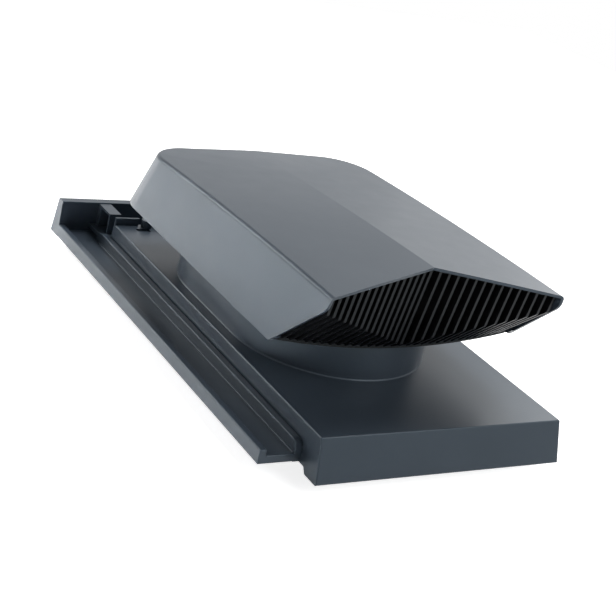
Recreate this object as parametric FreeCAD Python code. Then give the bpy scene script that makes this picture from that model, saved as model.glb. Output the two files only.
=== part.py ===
import FreeCAD, Part
import math
import os

V = FreeCAD.Vector

# Frame: origin on the axis of the duct socket, in the plane the skirt stands on.
# X across the roof, Y up the roof, Z away from the roof. Sizes in millimetres.

# Cover plate and front skirt
PLATE_LEFT = -102.1
PLATE_WIDTH = 240.3
PLATE_FRONT = -216.0
PLATE_LENGTH = 404.0
PLATE_TOP = 34.7
PLATE_WALL = 3.6
SIDE_LEAN = 3.4
SKIRT_LEAN = 12.8
SKIRT_END = 18.0
STEP_LEAN = 4.0
STEP_ROUND = 2.5
EDGE_ROUND = 1.4
SIDE_LAP_DROP = 14.0

# Interlock strip on the left side
STRIP_WIDTH = 39.8
STRIP_DROP = 30.2
STRIP_SETBACK = 16.6
RIM_WIDTH = 6.3
RIM_DROP = 17.6
RIM_ROUND = 1.2
STRIP_END_ROUND = 1.0
FLOOR_DROP = 23.1
FLOOR_WALL = 3.6
RIB_GAP = 2.2
RIB_WIDTH = 6.6
RIB_DROP = 12.7
RIB_NOSE = 8.0
RIB_SKIN = 2.2
RIB_ROUND = 0.9
RIB_PAST_PLATE = 3.6
RIB_RAMP = 13.0
BEAD_SIZE = 1.3

# Head of the tile, above the cover plate
HEAD_FLOOR_DROP = 15.5
HEAD_CHANNEL = 38.3
HEAD_WALL_TOP = 9.5
HEAD_WALL_FOOT = 17.8
HEAD_WALL_RISE = 6.7
HEAD_WALL_SKIN = 3.2
HEAD_ROUND = 0.8
BAR_RISE = 7.4
BAR_THICK = 2.4
LUG_OVERHANG = 1.0
LUG_WIDTH = 12.0
LUG_BEHIND = 11.0
LUG_LENGTH = 24.0
LUG_RISE = 5.6
LUG_SKIN = 2.2
BOSS_ACROSS = 32.0
BOSS_BEFORE = 5.0
BOSS_RADIUS = 5.6
BOSS_CLEAR = 2.0
FIXING_HOLE = 2.3
RECESS_ACROSS = 14.0
RECESS_ALONG = 7.0
RECESS_DEPTH = 1.6

# Batten nibs below the head
NIB_WIDTH = 30.0
NIB_THICK = 10.0
NIB_TAPER = 3.0
NIB_DEPTH = 10.0
NIB_ROUND = 1.5
NIB_BEHIND = 10.0
NIB_FROM_LEFT = 34.0
NIB_FROM_RIGHT = 28.0

# Collar and duct socket
COLLAR_RADIUS = 91.3
COLLAR_STRAIGHT = 89.6
COLLAR_WALL = 3.0
COLLAR_RISE = 55.5
COLLAR_DRAFT = 1.6
COLLAR_BEAD = 1.1
DUCT_RADIUS = 75.0
DUCT_CLEARANCE = 0.4
SOCKET_WALL = 3.0

# Hood
HOOD_LAP = 9.6
HOOD_SIDE_OVERHANG = 30.7
HOOD_SIDE_DRAFT = 0.141
HOOD_BACK_OVERHANG = 19.9
HOOD_BACK_DRAFT = 0.381
HOOD_CORNER = 40.5
HOOD_WALL = 2.6
EAVE_HEIGHT = 61.7
EAVE_BOW = 5340.0
RIDGE_HEIGHT = 9.6
RIDGE_ANGLE = 1.64
RIDGE_BOW = 6940.0
EAVE_ROUND = 4.0
REST_HIGH = 3.6
REST_IN = 3.0

# Mouth of the hood
MOUTH_OVERHANG = 21.3
MOUTH_SWEEP = 0.313
MOUTH_LEAN = 0.18
MOUTH_FOOT_OVERHANG = 2.1
MOUTH_SLANT_ANGLE = 46.1
MOUTH_NOSE_ROUND = 18.0
MOUTH_FOOT_ROUND = 5.0

# Grille
FIN_PITCH = 7.7
FIN_THICK = 2.5
FIN_SETBACK = 1.0
FIN_SWEEP = 0.292
FIN_LEAN = 0.155
FIN_FOOT_OVERHANG = 13.1
FIN_SLANT_ANGLE = 39.4
FIN_ROUND = 3.0
TRAY_FRONT = 3.65
TRAY_RISE = 3.0
TRAY_WALL = 2.8
TRAY_STEP = 3.0
BELLY_DROP = 11.6
BELLY_RISE = 12.5
FIT_GAP = 0.35

# How far a trimming form passes what it trims
PAST = 1.0
REACH = 30.0

# Derived sizes
PLATE_RIGHT = PLATE_LEFT + PLATE_WIDTH
PLATE_BACK = PLATE_FRONT + PLATE_LENGTH
SKIRT_FRONT = PLATE_FRONT - SKIRT_LEAN
STRIP_LEFT = PLATE_LEFT - STRIP_WIDTH
STRIP_FRONT = PLATE_FRONT + STRIP_SETBACK
STRIP_FOOT = PLATE_TOP - STRIP_DROP
RIM_RIGHT = STRIP_LEFT + RIM_WIDTH
RIM_TOP = PLATE_TOP - RIM_DROP
FLOOR_TOP = PLATE_TOP - FLOOR_DROP
RIB_RIGHT = PLATE_LEFT - RIB_GAP
RIB_LEFT = RIB_RIGHT - RIB_WIDTH
RIB_TOP = PLATE_TOP - RIB_DROP
RIB_BACK = PLATE_BACK + RIB_PAST_PLATE
HEAD_FLOOR = PLATE_TOP - HEAD_FLOOR_DROP
HEAD_FRONT = PLATE_BACK + HEAD_CHANNEL
HEAD_TOP = PLATE_TOP + HEAD_WALL_RISE
BOSS_X = PLATE_LEFT + BOSS_ACROSS
BOSS_Y = PLATE_BACK - BOSS_BEFORE
COLLAR_TOP = PLATE_TOP + COLLAR_RISE
COLLAR_TOP_RADIUS = COLLAR_RADIUS - COLLAR_DRAFT
COLLAR_END = COLLAR_STRAIGHT / 2 + COLLAR_RADIUS
SOCKET_RADIUS = DUCT_RADIUS + DUCT_CLEARANCE
SEAT_RADIUS = COLLAR_RADIUS + FIT_GAP
SEAT_END = COLLAR_STRAIGHT / 2 + SEAT_RADIUS + TRAY_WALL
HOOD_BOTTOM = COLLAR_TOP - HOOD_LAP
HOOD_FOOT_HALF = COLLAR_RADIUS + HOOD_SIDE_OVERHANG
HOOD_FOOT_BACK = COLLAR_END + HOOD_BACK_OVERHANG
EAVE_HALF = HOOD_FOOT_HALF - HOOD_SIDE_DRAFT * EAVE_HEIGHT
EAVE_Z = HOOD_BOTTOM + EAVE_HEIGHT
RIDGE_Z = EAVE_Z + RIDGE_HEIGHT
TRAY_TOP = HOOD_BOTTOM + TRAY_RISE
TRAY_LIP = -SEAT_END - TRAY_FRONT
MOUTH_CENTRE = TRAY_LIP - MOUTH_OVERHANG
MOUTH_FOOT = TRAY_LIP - MOUTH_FOOT_OVERHANG
FIN_CENTRE = MOUTH_CENTRE + FIN_SETBACK
FIN_FOOT = TRAY_LIP - FIN_FOOT_OVERHANG
FIN_SIDE_COUNT = int((EAVE_HALF - HOOD_WALL - FIN_THICK) / FIN_PITCH)
FAR_FRONT = MOUTH_CENTRE - MOUTH_SWEEP * HOOD_FOOT_HALF - REACH
FAR_BACK = HOOD_FOOT_BACK + REACH
FAR_SIDE = HOOD_FOOT_HALF + REACH
FAR_BELOW = HOOD_BOTTOM - REACH
FAR_ABOVE = RIDGE_Z + REACH


def box(x0, x1, y0, y1, z0, z1):
    return Part.makeBox(x1 - x0, y1 - y0, z1 - z0, V(x0, y0, z0))


def rounded_wire(points, radii):
    """Closed outline through the points, each corner rounded by its radius."""
    count = len(points)
    corners = []
    for i in range(count):
        here = points[i]
        back = points[i - 1].sub(here)
        ahead = points[(i + 1) % count].sub(here)
        back.normalize()
        ahead.normalize()
        if radii[i] <= 0:
            corners.append((here, here, None))
            continue
        half = back.getAngle(ahead) / 2
        run = radii[i] / math.tan(half)
        bisector = back.add(ahead)
        bisector.normalize()
        middle = here.add(bisector * (radii[i] / math.sin(half) - radii[i]))
        corners.append((here.add(back * run), here.add(ahead * run), middle))
    edges = []
    for i in range(count):
        first, last, middle = corners[i]
        if middle is not None:
            edges.append(Part.Arc(first, middle, last).toShape())
        following = corners[(i + 1) % count][0]
        if last.distanceToPoint(following) > 1e-6:
            edges.append(Part.makeLine(last, following))
    return Part.Wire(edges)


def along_x(points, radii, x0, x1):
    """Solid with a rounded outline in Y and Z, drawn from x0 to x1."""
    outline = rounded_wire([V(x0, y, z) for y, z in points], radii)
    return Part.Face(outline).extrude(V(x1 - x0, 0, 0))


def along_y(points, radii, y0, y1):
    """Solid with a rounded outline in X and Z, drawn from y0 to y1."""
    outline = rounded_wire([V(x, y0, z) for x, z in points], radii)
    return Part.Face(outline).extrude(V(0, y1 - y0, 0))


def obround_wire(radius, z):
    """Two half circles joined by straight sides, centred on the duct axis."""
    half = COLLAR_STRAIGHT / 2
    edges = [
        Part.Arc(V(radius, half, z), V(0, half + radius, z), V(-radius, half, z)).toShape(),
        Part.makeLine(V(-radius, half, z), V(-radius, -half, z)),
        Part.Arc(V(-radius, -half, z), V(0, -half - radius, z), V(radius, -half, z)).toShape(),
        Part.makeLine(V(radius, -half, z), V(radius, half, z)),
    ]
    return Part.Wire(edges)


def obround(radius0, z0, radius1, z1):
    """Obround plug whose radius changes from foot to top."""
    return Part.makeLoft([obround_wire(radius0, z0), obround_wire(radius1, z1)], True, True)


# Base tile


def plate_form(inset, foot, top):
    """Block with the plate's leaning front and left side, between two heights."""
    right = PLATE_RIGHT - inset
    back = PLATE_BACK - inset
    fronts = []
    lefts = []
    for z in (foot, top):
        fall = 1 - z / PLATE_TOP
        fronts.append((PLATE_FRONT - SKIRT_LEAN * fall + inset, z))
        lefts.append((PLATE_LEFT - SIDE_LEAN * fall + inset, z))
    square = [0, 0, 0, 0]
    profile = along_x(fronts + [(back, top), (back, foot)], square, STRIP_LEFT, right)
    section = along_y(lefts + [(right, top), (right, foot)], square, SKIRT_FRONT - REACH, back)
    return profile.common(section)


def raised_edge(x0, x1, rise):
    """Space below a side wall's lower edge, which steps up behind the skirt."""
    start = SKIRT_FRONT + SKIRT_END
    back = PLATE_BACK + PAST
    outline = [
        (start - SKIRT_END / 2, -PAST),
        (start - SKIRT_END / 2, 0),
        (start, 0),
        (start + STEP_LEAN, rise),
        (back, rise),
        (back, -PAST),
    ]
    return along_x(outline, [0, 0, STEP_ROUND, STEP_ROUND, 0, 0], x0, x1)


def cover_plate():
    """Hollow plate with soft outer edges, its side walls cut up to the laps."""
    block = plate_form(0, 0, PLATE_TOP)
    soft = []
    for edge in block.Edges:
        centre = edge.CenterOfMass
        on_top = centre.z > PLATE_TOP - PAST and centre.y < PLATE_BACK - PAST
        on_skirt = centre.y < PLATE_FRONT
        if on_top or on_skirt:
            soft.append(edge)
    block = block.makeFillet(EDGE_ROUND, soft)
    block = block.cut(plate_form(PLATE_WALL, -PAST, PLATE_TOP - PLATE_WALL))
    left = raised_edge(STRIP_LEFT, PLATE_LEFT + PLATE_WALL + PAST, STRIP_FOOT)
    right = raised_edge(PLATE_RIGHT - PLATE_WALL - PAST, PLATE_RIGHT + PAST, PLATE_TOP - SIDE_LAP_DROP)
    back = box(STRIP_LEFT, PLATE_RIGHT + PAST, PLATE_BACK - PLATE_WALL - PAST, PLATE_BACK + PAST,
               -PAST, HEAD_FLOOR - FLOOR_WALL)
    return block.cut(left).cut(right).cut(back)


def interlock_strip():
    """Rim and floor of the side interlock, hollow below, with the water rib and its bead."""
    section = [
        (STRIP_LEFT, STRIP_FOOT),
        (STRIP_LEFT, RIM_TOP),
        (RIM_RIGHT, RIM_TOP),
        (RIM_RIGHT, FLOOR_TOP),
        (PLATE_LEFT, FLOOR_TOP),
        (PLATE_LEFT, STRIP_FOOT),
    ]
    strip = along_y(section, [RIM_ROUND, RIM_ROUND, RIM_ROUND, RIM_ROUND, 0, 0],
                    STRIP_FRONT, HEAD_FRONT + HEAD_WALL_SKIN)
    front = []
    for edge in strip.Edges:
        bounds = edge.BoundBox
        if bounds.YMax < STRIP_FRONT + PAST and bounds.XMin < PLATE_LEFT - PAST:
            front.append(edge)
    strip = strip.makeFillet(STRIP_END_ROUND, front)
    under = box(RIM_RIGHT, RIB_RIGHT, STRIP_FRONT + FLOOR_WALL, HEAD_FRONT, STRIP_FOOT - PAST,
                FLOOR_TOP - FLOOR_WALL)
    bead = along_y([
        (RIB_LEFT - BEAD_SIZE, FLOOR_TOP - PAST),
        (RIB_LEFT - BEAD_SIZE, FLOOR_TOP + BEAD_SIZE),
        (RIB_LEFT + PAST, FLOOR_TOP + BEAD_SIZE),
        (RIB_LEFT + PAST, FLOOR_TOP - PAST),
    ], [0, BEAD_SIZE / 2, 0, 0], STRIP_FRONT + BEAD_SIZE, RIB_BACK)
    return strip.cut(under).fuse([water_rib(), bead]).cut(rib_form(RIB_SKIN))


def rib_form(inset):
    """Rib beside the plate, with a round nose and a ramp down to the head floor, or its hollow."""
    foot = STRIP_FOOT - inset
    end = RIB_BACK + RIB_RAMP
    outline = [
        (STRIP_FRONT + inset, foot),
        (STRIP_FRONT + inset, RIB_TOP - inset),
        (RIB_BACK, RIB_TOP - inset),
        (end, HEAD_FLOOR - inset),
        (end, foot),
    ]
    return along_x(outline, [0, RIB_NOSE - inset, 0, 0, 0], RIB_LEFT + inset, RIB_RIGHT - inset)


def water_rib():
    """The rib with the edges along its nose and top softened."""
    rib = rib_form(0)
    soft = []
    for edge in rib.Edges:
        bounds = edge.BoundBox
        if bounds.XLength < PAST and bounds.ZMax > HEAD_FLOOR and bounds.YMin < RIB_BACK:
            soft.append(edge)
    return rib.makeFillet(RIB_ROUND, soft)


def tile_head():
    """Head floor, hollow head wall, raised bar, lug and batten nibs."""
    floor = box(RIB_LEFT, PLATE_RIGHT, PLATE_BACK - PLATE_WALL, HEAD_FRONT + HEAD_WALL_SKIN,
                HEAD_FLOOR - FLOOR_WALL, HEAD_FLOOR)
    outer = [
        (HEAD_FRONT, STRIP_FOOT),
        (HEAD_FRONT, HEAD_TOP),
        (HEAD_FRONT + HEAD_WALL_TOP, HEAD_TOP),
        (HEAD_FRONT + HEAD_WALL_FOOT, STRIP_FOOT),
    ]
    inner = [
        (HEAD_FRONT + HEAD_WALL_SKIN, STRIP_FOOT - PAST),
        (HEAD_FRONT + HEAD_WALL_SKIN, HEAD_TOP - HEAD_WALL_SKIN),
        (HEAD_FRONT + HEAD_WALL_TOP - HEAD_WALL_SKIN, HEAD_TOP - HEAD_WALL_SKIN),
        (HEAD_FRONT + HEAD_WALL_FOOT - HEAD_WALL_SKIN, STRIP_FOOT - PAST),
    ]
    wall = along_x(outer, [0, HEAD_ROUND, HEAD_ROUND, HEAD_ROUND], STRIP_LEFT, PLATE_RIGHT)
    hollow = along_x(inner, [0, 0, 0, 0], STRIP_LEFT + HEAD_WALL_SKIN, PLATE_RIGHT - HEAD_WALL_SKIN)
    bar = along_x([
        (PLATE_BACK - BAR_THICK, PLATE_TOP - PAST),
        (PLATE_BACK - BAR_THICK, PLATE_TOP + BAR_RISE),
        (PLATE_BACK, PLATE_TOP + BAR_RISE),
        (PLATE_BACK, PLATE_TOP - PAST),
    ], [0, HEAD_ROUND, HEAD_ROUND, 0], PLATE_LEFT, PLATE_RIGHT)
    pieces = [wall.cut(hollow), bar, head_lug()]
    for left in (PLATE_LEFT + NIB_FROM_LEFT, PLATE_RIGHT - NIB_FROM_RIGHT - NIB_WIDTH):
        pieces.append(batten_nib(left))
    return floor.fuse(pieces)


def head_lug():
    """Small hollow lug between the head floor and the head wall, open to the left."""
    left = PLATE_LEFT - LUG_OVERHANG
    right = left + LUG_WIDTH
    front = PLATE_BACK + LUG_BEHIND
    back = front + LUG_LENGTH
    top = PLATE_TOP + LUG_RISE
    block = box(left, right, front, HEAD_FRONT + PAST, HEAD_FLOOR - PAST, top)
    hollow = box(left - PAST, right - LUG_SKIN, front + LUG_SKIN, back - LUG_SKIN,
                 HEAD_FLOOR, top - LUG_SKIN)
    return block.cut(hollow)


def batten_nib(left):
    """Tapered nib that hangs behind a batten."""
    front = PLATE_BACK + NIB_BEHIND
    root = HEAD_FLOOR - PAST
    outline = [
        (front, root),
        (front, -NIB_DEPTH),
        (front + NIB_THICK, -NIB_DEPTH),
        (front + NIB_THICK + NIB_TAPER, root),
    ]
    return along_x(outline, [0, NIB_ROUND, NIB_ROUND, 0], left, left + NIB_WIDTH)


def collar():
    """Obround collar with a bead at its foot, over the round duct socket."""
    root = PLATE_TOP - PAST
    wall = obround(COLLAR_RADIUS, root, COLLAR_TOP_RADIUS, COLLAR_TOP)
    bead = obround(COLLAR_RADIUS + COLLAR_BEAD, root, COLLAR_RADIUS, PLATE_TOP + COLLAR_BEAD)
    socket = Part.makeCylinder(SOCKET_RADIUS + SOCKET_WALL, PLATE_TOP)
    return wall.fuse([bead, socket])


def collar_room():
    """Air way through the collar and the socket."""
    room = obround(COLLAR_RADIUS - COLLAR_WALL, PLATE_TOP, COLLAR_TOP_RADIUS - COLLAR_WALL, COLLAR_TOP)
    bore = Part.makeCylinder(SOCKET_RADIUS, PLATE_TOP + 2 * PAST, V(0, 0, -PAST))
    return room.fuse(bore)


def fixing_boss(tile):
    """The tile with its bar opened round a screw boss, and a shallow recess before it."""
    half_gap = BOSS_RADIUS + BOSS_CLEAR
    gap = box(BOSS_X - half_gap, BOSS_X + half_gap, PLATE_BACK - BAR_THICK - PAST, PLATE_BACK + PAST,
              PLATE_TOP, PLATE_TOP + BAR_RISE + PAST)
    recess_left = BOSS_X - RECESS_ACROSS
    recess_back = BOSS_Y - BOSS_RADIUS
    recess = box(recess_left, recess_left + RECESS_ACROSS, recess_back - RECESS_ALONG, recess_back,
                 PLATE_TOP - RECESS_DEPTH, PLATE_TOP + PAST)
    root = PLATE_TOP - PLATE_WALL
    high = BAR_RISE + PLATE_WALL
    boss = Part.makeCylinder(BOSS_RADIUS, high, V(BOSS_X, BOSS_Y, root))
    hole = Part.makeCylinder(FIXING_HOLE, high + 2 * PAST, V(BOSS_X, BOSS_Y, root - PAST))
    return tile.cut([gap, recess]).fuse(boss).cut(hole)


def base_tile():
    tile = cover_plate().fuse([interlock_strip(), tile_head(), collar()])
    return fixing_boss(tile).cut(collar_room()).removeSplitter()


# Hood


def ridge_z(y):
    run = y - MOUTH_CENTRE
    return RIDGE_Z - math.tan(math.radians(RIDGE_ANGLE)) * run - run * run / (2 * RIDGE_BOW)


def eave_z(y):
    run = y - MOUTH_CENTRE
    return EAVE_Z - run * run / (2 * EAVE_BOW)


def half_width(z, inset):
    """Half the width between the drafted sides at one height, moved in by an inset."""
    return HOOD_FOOT_HALF - HOOD_SIDE_DRAFT * (z - HOOD_BOTTOM) - inset * math.hypot(1, HOOD_SIDE_DRAFT)


def back_y(z, inset):
    """Place of the drafted back at one height, moved in by an inset."""
    return HOOD_FOOT_BACK - HOOD_BACK_DRAFT * (z - HOOD_BOTTOM) - inset * math.hypot(1, HOOD_BACK_DRAFT)


def hood_walls(inset):
    """Block with the drafted sides and back of the hood, its back corners rounded."""
    low = half_width(FAR_BELOW, inset)
    high = half_width(FAR_ABOVE, inset)
    section = [(-low, FAR_BELOW), (-high, FAR_ABOVE), (high, FAR_ABOVE), (low, FAR_BELOW)]
    profile = [
        (FAR_FRONT, FAR_BELOW),
        (FAR_FRONT, FAR_ABOVE),
        (back_y(FAR_ABOVE, inset), FAR_ABOVE),
        (back_y(FAR_BELOW, inset), FAR_BELOW),
    ]
    square = [0, 0, 0, 0]
    sides = along_y(section, square, FAR_FRONT, FAR_BACK)
    block = sides.common(along_x(profile, square, -FAR_SIDE, FAR_SIDE))
    corners = []
    for edge in block.Edges:
        if edge.BoundBox.ZLength > PAST and edge.CenterOfMass.y > 0:
            corners.append(edge)
    return block.makeFillet(HOOD_CORNER - inset, corners)


def under_roof(drop):
    """Solid below the roof: two slopes that meet at the ridge and bow down to the back."""
    spread = FAR_SIDE / EAVE_HALF
    outlines = []
    for x in (-FAR_SIDE, 0, FAR_SIDE):
        points = []
        for y in (FAR_FRONT, 0, FAR_BACK):
            fall = 0 if x == 0 else spread * (ridge_z(y) - eave_z(y))
            points.append(V(x, y, ridge_z(y) - fall - drop))
        front, middle, back = points
        bow = Part.Arc(front, middle, back).toShape()
        rest = Part.makePolygon([back, V(x, FAR_BACK, FAR_BELOW), V(x, FAR_FRONT, FAR_BELOW), front])
        outlines.append(Part.Wire([bow] + rest.Edges))
    return Part.makeLoft(outlines, True, True)


def hood_body(inset):
    """Filled form of the hood, its walls and roof moved in by an inset."""
    return hood_walls(inset).common(under_roof(inset))


def soft_eaves(body):
    """The body with its eaves rounded, where the roof meets the sides and the back."""
    eaves = []
    for edge in body.Edges:
        bounds = edge.BoundBox
        level = bounds.ZMin > TRAY_TOP and bounds.ZLength < bounds.DiagonalLength / 2
        on_ridge = bounds.XLength < PAST
        at_front = edge.CenterOfMass.y < FAR_FRONT + PAST
        if level and not on_ridge and not at_front:
            eaves.append(edge)
    return body.makeFillet(EAVE_ROUND, eaves)


def slanted_edge(front, lean, foot, angle):
    """Bend where a leaning front edge meets a lower edge that slants back to the foot."""
    slant = math.tan(math.radians(angle))
    height = (foot - front - lean * EAVE_HEIGHT) / (slant - lean)
    return (foot - slant * height, HOOD_BOTTOM + height)


def mouth_keep():
    """Space behind the mouth: the V of the lip, and the slanted undercut of the sides."""
    side = MOUTH_CENTRE - MOUTH_SWEEP * FAR_SIDE
    rise = MOUTH_LEAN * (FAR_ABOVE - EAVE_Z)
    points = [
        V(-FAR_SIDE, side - rise, FAR_ABOVE),
        V(0, MOUTH_CENTRE - rise, FAR_ABOVE),
        V(FAR_SIDE, side - rise, FAR_ABOVE),
        V(FAR_SIDE, FAR_BACK, FAR_ABOVE),
        V(-FAR_SIDE, FAR_BACK, FAR_ABOVE),
    ]
    drop = FAR_ABOVE - FAR_BELOW
    face = Part.Face(Part.makePolygon(points + points[:1]))
    behind = face.extrude(V(0, MOUTH_LEAN * drop, -drop))
    panel = MOUTH_CENTRE - MOUTH_SWEEP * EAVE_HALF
    outline = [
        (panel - rise, FAR_ABOVE),
        slanted_edge(panel, MOUTH_LEAN, MOUTH_FOOT, MOUTH_SLANT_ANGLE),
        (MOUTH_FOOT, HOOD_BOTTOM),
        (FAR_BACK, HOOD_BOTTOM),
        (FAR_BACK, FAR_ABOVE),
    ]
    profile = along_x(outline, [0, MOUTH_NOSE_ROUND, MOUTH_FOOT_ROUND, 0, 0], -FAR_SIDE, FAR_SIDE)
    return behind.common(profile)


def hood():
    """Shell with a narrow ledge inside, which rests on the grille's tray."""
    shell = soft_eaves(hood_body(0)).cut(hood_body(HOOD_WALL))
    level = box(-FAR_SIDE, FAR_SIDE, FAR_FRONT, FAR_BACK, TRAY_TOP, TRAY_TOP + REST_HIGH)
    ledge = hood_body(HOOD_WALL / 2).cut(hood_body(HOOD_WALL + REST_IN)).common(level)
    return shell.fuse(ledge).common(mouth_keep()).removeSplitter()


# Grille


def belly_z(x):
    """Underside of the tray's belly at a distance from the middle."""
    share = x / HOOD_FOOT_HALF
    return HOOD_BOTTOM - BELLY_DROP + BELLY_RISE * share * share


def above_belly(lift):
    """Everything above the belly's underside, raised by a lift, behind the tray's lip."""
    half = HOOD_FOOT_HALF
    low = V(0, TRAY_LIP, belly_z(0) + lift)
    left = V(-half, TRAY_LIP, belly_z(half) + lift)
    right = V(half, TRAY_LIP, belly_z(half) + lift)
    top_left = V(-half, TRAY_LIP, FAR_ABOVE)
    top_right = V(half, TRAY_LIP, FAR_ABOVE)
    sag = Part.Arc(left, low, right).toShape()
    rest = Part.makePolygon([right, top_right, top_left, left])
    face = Part.Face(Part.Wire([sag] + rest.Edges))
    return face.extrude(V(0, FAR_BACK - TRAY_LIP, 0))


def tray():
    """Flat flange inside the hood's foot, with a shallow dish hanging from it."""
    edge = HOOD_WALL + FIT_GAP
    flange = box(-FAR_SIDE, FAR_SIDE, TRAY_LIP, FAR_BACK, TRAY_TOP - TRAY_WALL, TRAY_TOP)
    below = box(-FAR_SIDE, FAR_SIDE, TRAY_LIP, FAR_BACK, FAR_BELOW, TRAY_TOP)
    dish = above_belly(0).common(hood_body(edge + TRAY_STEP)).common(below)
    well = above_belly(TRAY_WALL).common(hood_body(edge + TRAY_STEP + TRAY_WALL))
    return flange.common(hood_body(edge)).fuse(dish).cut(well)


def collar_seat():
    """Wall round the collar, with an inner flange that rests on the collar's top."""
    outer = SEAT_RADIUS + TRAY_WALL
    return obround(outer, belly_z(0) + TRAY_WALL / 2, outer, COLLAR_TOP + TRAY_WALL)


def collar_space():
    """Room for the collar below the seat's flange, and the air way through it."""
    inner = COLLAR_TOP_RADIUS - COLLAR_WALL
    through = obround(inner, FAR_BELOW, inner, FAR_ABOVE)
    return obround(SEAT_RADIUS, FAR_BELOW, SEAT_RADIUS, COLLAR_TOP).fuse(through)


def fin(x):
    """One upright fin: leaning front edge, slanted lower edge, foot in the tray."""
    top = RIDGE_Z
    front = FIN_CENTRE - FIN_SWEEP * abs(x)
    foot = belly_z(x) + TRAY_WALL / 2
    back = -SEAT_END + TRAY_WALL / 2
    outline = [
        (front - FIN_LEAN * (top - EAVE_Z), top),
        slanted_edge(front, FIN_LEAN, FIN_FOOT, FIN_SLANT_ANGLE),
        (TRAY_LIP, foot),
        (back, foot),
        (back, top),
    ]
    return along_x(outline, [0, FIN_ROUND, 0, 0, 0], x - FIN_THICK / 2, x + FIN_THICK / 2)


def grille():
    room = hood_body(HOOD_WALL + FIT_GAP)
    fins = [fin(k * FIN_PITCH).common(room) for k in range(-FIN_SIDE_COUNT, FIN_SIDE_COUNT + 1)]
    return tray().fuse([collar_seat()] + fins).cut(collar_space()).removeSplitter()


os.makedirs("parts", exist_ok=True)
for name, shape in (("base_tile", base_tile()), ("hood", hood()), ("grille", grille())):
    print(name, shape.isValid(), len(shape.Solids), round(shape.Volume / 1000, 1), "cm3")
    shape.exportStep("parts/" + name + ".step")
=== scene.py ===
# %% [markdown]
# # A moulded roof tile vent
#
# The vent is a flat plastic roof tile with an oval collar, a black fin grille
# that sits on the collar, and a low ridged hood over the grille. The shapes come
# from the CAD model, which is loaded here as a fixed frame. What is left for
# Blender is what CAD does not hold: how the faces are smoothed, the way moulded
# plastic takes light, and the studio that the part is seen in.

# %% Load the fixed frame
import math

import bpy
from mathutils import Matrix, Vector


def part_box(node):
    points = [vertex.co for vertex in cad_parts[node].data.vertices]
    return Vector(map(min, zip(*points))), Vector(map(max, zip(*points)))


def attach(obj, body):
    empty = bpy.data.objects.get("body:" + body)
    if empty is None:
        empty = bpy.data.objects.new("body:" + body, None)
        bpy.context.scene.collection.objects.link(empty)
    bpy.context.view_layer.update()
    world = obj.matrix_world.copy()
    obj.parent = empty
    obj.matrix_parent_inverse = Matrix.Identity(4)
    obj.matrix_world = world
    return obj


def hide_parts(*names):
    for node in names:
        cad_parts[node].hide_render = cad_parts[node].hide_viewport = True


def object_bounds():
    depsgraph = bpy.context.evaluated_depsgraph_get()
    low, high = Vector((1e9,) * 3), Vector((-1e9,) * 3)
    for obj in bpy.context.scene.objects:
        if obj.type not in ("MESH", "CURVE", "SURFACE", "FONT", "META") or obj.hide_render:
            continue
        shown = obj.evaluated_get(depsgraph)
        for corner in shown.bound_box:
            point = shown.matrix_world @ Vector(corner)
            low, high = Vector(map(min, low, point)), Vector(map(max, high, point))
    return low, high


MM = 0.001

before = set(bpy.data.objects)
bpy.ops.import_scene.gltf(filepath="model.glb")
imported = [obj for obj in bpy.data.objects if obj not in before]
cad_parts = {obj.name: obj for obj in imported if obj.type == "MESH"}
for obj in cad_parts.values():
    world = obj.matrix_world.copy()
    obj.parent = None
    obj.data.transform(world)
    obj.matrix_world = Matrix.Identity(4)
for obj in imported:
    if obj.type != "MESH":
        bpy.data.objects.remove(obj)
cad_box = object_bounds()
print("loaded", sorted(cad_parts))
print("CAD size mm", [round((b - a) / MM) for a, b in zip(*cad_box)])

# %% [markdown]
# ## From CAD triangles to a moulded skin
#
# A CAD mesh is loose flat triangles, so a round collar would show its facets.
# Smoothing the loose triangles does nothing, because they share no edges. So each
# node is copied, the copy's doubled corners are merged, and triangles that lie in
# one plane are dissolved into single faces. Then Blender can smooth across small
# angles and keep the larger ones sharp.
#
# Every moulded edge is a little round, because the mould's own edges are. The CAD
# model already carries those rounds, so no bevel is added here. Weighted normals
# let the widest face decide how a corner is shaded. The flats stay flat up to each
# round, and the round alone catches the thin light line that a real edge shows.

# %% A helper that turns a CAD node into a smooth piece
MERGE = 0.004 * MM
FLAT_WITHIN = math.radians(0.6)
SHARP_ABOVE = math.radians(24)


def moulded_copy(node_name, piece_name):
    """Copy of a CAD node with merged corners, flat faces and smooth curves."""
    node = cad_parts[node_name]
    piece = bpy.data.objects.new(piece_name, node.data.copy())
    bpy.context.scene.collection.objects.link(piece)
    bpy.ops.object.select_all(action="DESELECT")
    piece.select_set(True)
    bpy.context.view_layer.objects.active = piece
    bpy.ops.object.mode_set(mode="EDIT")
    bpy.ops.mesh.select_all(action="SELECT")
    bpy.ops.mesh.customdata_custom_splitnormals_clear()
    bpy.ops.mesh.remove_doubles(threshold=MERGE)
    bpy.ops.mesh.dissolve_limited(angle_limit=FLAT_WITHIN)
    bpy.ops.mesh.select_all(action="DESELECT")
    bpy.ops.object.mode_set(mode="OBJECT")
    bpy.ops.object.shade_smooth_by_angle(angle=SHARP_ABOVE)
    weighted = piece.modifiers.new("flat faces", "WEIGHTED_NORMAL")
    weighted.keep_sharp = True
    bpy.ops.object.modifier_apply(modifier=weighted.name)
    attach(piece, "root")
    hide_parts(node_name)
    print(piece_name, len(piece.data.vertices), "corners", len(piece.data.polygons), "faces")
    return piece


# %% The three moulded pieces
tile = moulded_copy("base_tile", "roof_tile")
hood = moulded_copy("hood", "vent_hood")
grille = moulded_copy("grille", "fin_grille")

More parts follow.
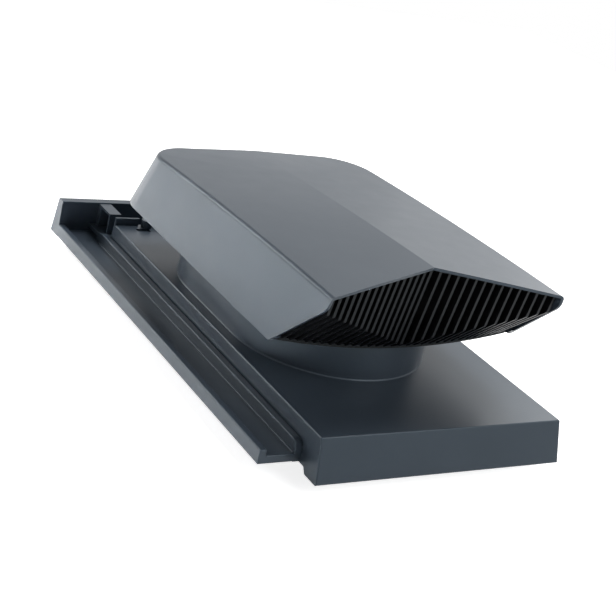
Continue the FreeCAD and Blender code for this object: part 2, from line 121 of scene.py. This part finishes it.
# %% [markdown]
# ## The ridge
#
# The two slopes of the roof meet at a very flat angle, under ten degrees, so
# smoothing by angle blurs the ridge away. On the real hood it is a crease that is
# crisp at the mouth. The edges that lie in the middle of the roof are picked by
# their place and marked sharp, which keeps the shading of the two slopes apart.

# %% Keep the ridge crisp
ROOF_ABOVE = 0.78
ON_MIDDLE = 0.02 * MM

bpy.ops.object.select_all(action="DESELECT")
hood.select_set(True)
bpy.context.view_layer.objects.active = hood
low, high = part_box("hood")
roof_z = low.z + ROOF_ABOVE * (high.z - low.z)
corners = hood.data.vertices
ridge_edges = 0
for edge in hood.data.edges:
    ends = [corners[i].co for i in edge.vertices]
    edge.select = all(abs(p.x) < ON_MIDDLE and p.z > roof_z for p in ends)
    ridge_edges += edge.select
bpy.ops.object.mode_set(mode="EDIT")
bpy.ops.mesh.mark_sharp()
bpy.ops.object.mode_set(mode="OBJECT")
print("ridge edges marked sharp", ridge_edges)

# %% [markdown]
# ## The ridge fades to the back
#
# Half-way up the roof the crease goes soft, and at the back it is gone. Moving the
# faces would change the part, so only the shading is changed. Each corner on the
# ridge has one normal for the left slope and one for the right. From front to back
# both are turned step by step towards their mean. Where they agree, the eye sees
# one smooth roof.

# %% Let the ridge fade to the back
CRISP_TO = -60 * MM
GONE_FROM = 90 * MM

shell = hood.data
facing = [corner.vector.copy() for corner in shell.corner_normals]
along_ridge = {}
for number, loop in enumerate(shell.loops):
    spot = corners[loop.vertex_index].co
    if abs(spot.x) < ON_MIDDLE and spot.z > roof_z:
        along_ridge.setdefault(loop.vertex_index, []).append(number)
for vertex, numbers in along_ridge.items():
    fade = (corners[vertex].co.y - CRISP_TO) / (GONE_FROM - CRISP_TO)
    fade = min(1.0, max(0.0, fade))
    mean = sum((facing[n] for n in numbers), Vector()).normalized()
    for n in numbers:
        facing[n] = facing[n].lerp(mean, fade).normalized()
shell.normals_split_custom_set(facing)
print("ridge corners turned", len(along_ridge))

# %% [markdown]
# ## Colours as they are written
#
# A hex colour is written for a screen, in sRGB, and a shader works in linear
# light. One function turns the first into the second, so that a colour read off
# the part can be typed in as it is.

# %% Colour and node helpers


def linear(hex_colour):
    """sRGB hex to the linear colour a shader socket takes."""
    values = []
    for i in (1, 3, 5):
        s = int(hex_colour[i:i + 2], 16) / 255
        values.append(s / 12.92 if s <= 0.04045 else ((s + 0.055) / 1.055) ** 2.4)
    return (*values, 1.0)


def add(tree, kind, settings=None, links=None, **values):
    """One node: its settings, then values by socket name, then links from other sockets."""
    node = tree.nodes.new(kind)
    for name, value in (settings or {}).items():
        setattr(node, name, value)
    for name, value in values.items():
        node.inputs[name.replace("_", " ")].default_value = value
    for name, socket in (links or {}).items():
        tree.links.new(socket, node.inputs[name])
    return node


print("slate in linear light", [round(v, 3) for v in linear("#3c454f")])

# %% [markdown]
# ## Slate-coloured polypropylene
#
# The tile and the hood are injection-moulded in one slate-grey plastic. The mould
# is lightly spark-eroded, which leaves a satin skin: broad soft highlights, no
# mirror image. Such a grain is about 0.3 mm wide, too fine for this picture, so
# it is drawn at 1.6 mm and kept shallow. Two slower patterns stand for how the
# plastic flowed and cooled: cloudy patches of tone some 60 mm across, and patches
# of slightly different gloss of about 18 mm. The mirrored light is weaker than on
# a polished skin, because the grain swallows some of it, and it is a little blue.

# %% The slate plastic
GRAIN_MM = 1.6
GRAIN_DEPTH_MM = 0.1
GLOSS_PATCH_MM = 18
TONE_PATCH_MM = 60
PLASTIC_IOR = 1.49
MIRRORED_TINT = "#e4f5ff"


def per_metre(size_mm):
    """Noise scale that gives features of this size on Object coordinates in metres."""
    return 1 / (size_mm * MM)


def moulded_plastic(name, dark, light, gloss, rough, bump, shine):
    """Satin moulded plastic between two tones and two roughness values."""
    material = bpy.data.materials.new(name)
    material.use_nodes = True
    tree = material.node_tree
    tree.nodes.clear()
    place = add(tree, "ShaderNodeTexCoord").outputs["Object"]
    tone = add(tree, "ShaderNodeTexNoise", links={"Vector": place},
               Scale=per_metre(TONE_PATCH_MM), Detail=3.0, Roughness=0.55)
    # A Mix node keeps its two colours in inputs 6 and 7, and the mixed one in output 2.
    colour = add(tree, "ShaderNodeMix", {"data_type": "RGBA"})
    colour.inputs[6].default_value = linear(dark)
    colour.inputs[7].default_value = linear(light)
    tree.links.new(tone.outputs["Fac"], colour.inputs["Factor"])
    patch = add(tree, "ShaderNodeTexNoise", links={"Vector": place},
                Scale=per_metre(GLOSS_PATCH_MM), Detail=2.0)
    sheen = add(tree, "ShaderNodeMapRange", links={"Value": patch.outputs["Fac"]},
                To_Min=gloss, To_Max=rough)
    grain = add(tree, "ShaderNodeTexNoise", links={"Vector": place},
                Scale=per_metre(GRAIN_MM), Detail=2.0, Roughness=0.6)
    relief = add(tree, "ShaderNodeBump", links={"Height": grain.outputs["Fac"]},
                 Strength=bump, Distance=GRAIN_DEPTH_MM * MM)
    skin = add(tree, "ShaderNodeBsdfPrincipled", links={
        "Base Color": colour.outputs[2],
        "Roughness": sheen.outputs["Result"],
        "Normal": relief.outputs["Normal"],
    }, IOR=PLASTIC_IOR, Specular_IOR_Level=shine, Specular_Tint=linear(MIRRORED_TINT))
    add(tree, "ShaderNodeOutputMaterial", links={"Surface": skin.outputs["BSDF"]})
    return material


# A satin slate grey that turns pale where it mirrors a bright floor or lamp.
slate = moulded_plastic("moulded_polypropylene_slate", dark="#38414b", light="#404953",
                        gloss=0.285, rough=0.345, bump=0.25, shine=0.33)
for piece in (tile, hood):
    piece.data.materials.clear()
    piece.data.materials.append(slate)
print(slate.name, "on", tile.name, "and", hood.name)

# %% [markdown]
# ## Black polypropylene
#
# The grille is a separate moulding in the same plastic, coloured black with carbon.
# It uses the same recipe with darker tones. Its fins stand in their own shade, so
# all that shows of them is a faint grey line along each front edge.

# %% The black plastic
# A deep black that shows little more than its lit edges.
black = moulded_plastic("moulded_polypropylene_black", dark="#080809", light="#0c0c0d",
                        gloss=0.38, rough=0.48, bump=0.2, shine=0.2)
grille.data.materials.clear()
grille.data.materials.append(black)
print(black.name, "on", grille.name)

# %% [markdown]
# ## The floor
#
# A pale floor shows where the part stands. For the camera it should be clean
# white, and it should still hold the part's soft shadow. So the floor is a plain
# matt white, which takes light and shadow, and a white glow is added to it that
# only camera, mirror and glass rays see. Other rays see the matt white alone, so
# the glow puts no light on the part. The floor ends where the lamps still reach it,
# and the white backdrop goes on from there without a seam.

# %% A white floor that keeps the shadow
FLOOR_REACH = 1.6
FLOOR_GAP = 0.5 * MM
FLOOR_GLOW = 0.82

bpy.ops.mesh.primitive_grid_add(x_subdivisions=2, y_subdivisions=2, size=2 * FLOOR_REACH)
floor = bpy.context.active_object
floor.name = "studio_floor"
floor.location.z = cad_box[0].z - FLOOR_GAP
bpy.ops.object.transform_apply(location=True)


def seen_directly(tree):
    """1 for camera, mirror and glass rays, 0 for the rays that carry soft light."""
    path = add(tree, "ShaderNodeLightPath")
    seen = add(tree, "ShaderNodeMath", {"operation": "MAXIMUM"})
    tree.links.new(path.outputs["Is Camera Ray"], seen.inputs[0])
    tree.links.new(path.outputs["Is Glossy Ray"], seen.inputs[1])
    both = add(tree, "ShaderNodeMath", {"operation": "MAXIMUM"})
    tree.links.new(seen.outputs[0], both.inputs[0])
    tree.links.new(path.outputs["Is Transmission Ray"], both.inputs[1])
    return both.outputs[0]


paper = bpy.data.materials.new("matt_white_floor")
paper.use_nodes = True
tree = paper.node_tree
tree.nodes.clear()
matt = add(tree, "ShaderNodeBsdfDiffuse", Color=linear("#f2f2f2"))
level = add(tree, "ShaderNodeMath", {"operation": "MULTIPLY"})
level.inputs[1].default_value = FLOOR_GLOW
tree.links.new(seen_directly(tree), level.inputs[0])
glow = add(tree, "ShaderNodeEmission", links={"Strength": level.outputs[0]}, Color=(1, 1, 1, 1))
both = add(tree, "ShaderNodeAddShader")
tree.links.new(matt.outputs[0], both.inputs[0])
tree.links.new(glow.outputs[0], both.inputs[1])
add(tree, "ShaderNodeOutputMaterial", links={"Surface": both.outputs[0]})
floor.data.materials.append(paper)
print("floor at", round(floor.data.vertices[0].co.z / MM, 1), "mm")

# %% [markdown]
# ## The room
#
# A world that is white to the camera and to reflections is the studio's backdrop.
# The rays that carry soft light see it much darker, so the shade under the hood
# stays deep, and the lamps do the modelling.

# %% World
ROOM_LEVEL = 0.1

world = bpy.data.worlds.new("white_studio")
bpy.context.scene.world = world
world.use_nodes = True
tree = world.node_tree
tree.nodes.clear()
room = add(tree, "ShaderNodeBackground", Color=(1, 1, 1, 1), Strength=ROOM_LEVEL)
backdrop = add(tree, "ShaderNodeBackground", Color=(1, 1, 1, 1), Strength=1.0)
shown = add(tree, "ShaderNodeMixShader", links={"Fac": seen_directly(tree)})
tree.links.new(room.outputs[0], shown.inputs[1])
tree.links.new(backdrop.outputs[0], shown.inputs[2])
add(tree, "ShaderNodeOutputWorld", links={"Surface": shown.outputs[0]})
print("room at", ROOM_LEVEL, "of the backdrop")

# %% [markdown]
# ## Soft boxes
#
# A soft box is a large square lamp: the larger it is, the softer the shade. The
# main one stands high at the back right, so that the hood shades the front and the
# left of the tile. One in front opens the shade on the skirt and the collar. It is
# wide and stands rather high, so that the roof mirrors no glare when it is seen from
# behind. Satin plastic also mirrors what stands behind it at a flat angle. So two
# boxes at the back right brighten the right slope of the roof and the right of the
# plate, and a tall narrow one at the back left draws the light lines along the
# rounded edges.

# %% Soft boxes round the part
middle = (cad_box[0] + cad_box[1]) / 2


def softbox(name, turn, rise, away, wide, high, watts):
    """Area lamp aimed at the part, by degrees round it and up, sizes in metres."""
    lamp = bpy.data.lights.new(name, "AREA")
    lamp.shape = "RECTANGLE"
    lamp.size = wide
    lamp.size_y = high
    lamp.energy = watts
    stand = bpy.data.objects.new(name, lamp)
    bpy.context.scene.collection.objects.link(stand)
    turn = math.radians(turn)
    rise = math.radians(rise)
    level = math.cos(rise)
    out = Vector((level * math.cos(turn), level * math.sin(turn), math.sin(rise)))
    stand.location = middle + away * out
    stand.rotation_euler = (-out).to_track_quat("-Z", "Y").to_euler()
    return stand


softbox("key_box", turn=38, rise=61, away=1.8, wide=0.8, high=0.8, watts=20)
softbox("front_fill", turn=-62, rise=34, away=2.0, wide=1.2, high=1.2, watts=15)
softbox("back_right_box", turn=23, rise=27, away=2.1, wide=1.0, high=1.0, watts=6.8)
softbox("back_right_low_box", turn=36, rise=9, away=2.1, wide=1.0, high=0.8, watts=1.0)
softbox("edge_box", turn=125, rise=21, away=2.0, wide=0.4, high=0.9, watts=14)
print("boxes aimed at", [round(v / MM) for v in middle])

# %% [markdown]
# ## Light from the floor
#
# The sides that face left are the palest ones, and yet the collar and the channel
# beside them are dark. So their light comes from below: the white floor beside
# the part is bright, and the outer faces mirror it. Three lamps hang over that
# floor and look straight down in a narrow beam, so they light the floor and hardly
# touch the part. The third is a thin strip, because the outer rim mirrors only the
# floor right beside it.

# %% Lamps that light the floor
LAMP_HEIGHT = 0.9


def floor_lamp(name, x, y, wide, long, beam, watts):
    """Rectangular lamp that looks straight down in a narrow beam, sizes in metres and degrees."""
    lamp = bpy.data.lights.new(name, "AREA")
    lamp.shape = "RECTANGLE"
    lamp.size = wide
    lamp.size_y = long
    lamp.spread = math.radians(beam)
    lamp.energy = watts
    hung = bpy.data.objects.new(name, lamp)
    bpy.context.scene.collection.objects.link(hung)
    hung.location = (x, y, LAMP_HEIGHT)
    return hung


floor_lamp("back_floor_lamp", x=-0.55, y=0.7, wide=0.7, long=0.8, beam=20, watts=5.2)
floor_lamp("left_floor_lamp", x=-0.74, y=-0.15, wide=0.6, long=1.0, beam=20, watts=10)
floor_lamp("rim_floor_lamp", x=-0.17, y=0.15, wide=0.04, long=0.8, beam=3, watts=0.13)
print("floor lamps hang at", LAMP_HEIGHT, "m")

# %% [markdown]
# ## The camera
#
# The picture looks down on the part from its front left corner through a short
# telephoto lens. The place and the turn were solved from the tile's own straight
# edges, so they are written here as numbers. The lens follows from the width of
# the view: at this distance one pixel of a 616-pixel picture is about 0.8 mm.

# %% Camera
IMAGE_PIXELS = 616
FOCAL_PIXELS = 1343.06
SENSOR_MM = 36.0
EYE_AT_MM = Vector((-651.68, -919.28, 493.85))
EYE_TURN = (67.3196, -13.3941, -30.2803)

eye = bpy.data.cameras.new("front_left_view")
eye.sensor_width = SENSOR_MM
eye.lens = SENSOR_MM * FOCAL_PIXELS / IMAGE_PIXELS
camera = bpy.data.objects.new("front_left_view", eye)
bpy.context.scene.collection.objects.link(camera)
camera.location = EYE_AT_MM * MM
camera.rotation_euler = [math.radians(a) for a in EYE_TURN]
bpy.context.scene.camera = camera
print("lens", round(eye.lens, 1), "mm")

# %% [markdown]
# ## Finish
#
# The standard view shows colours as they are written.

# %% View
bpy.context.scene.view_settings.view_transform = "Standard"
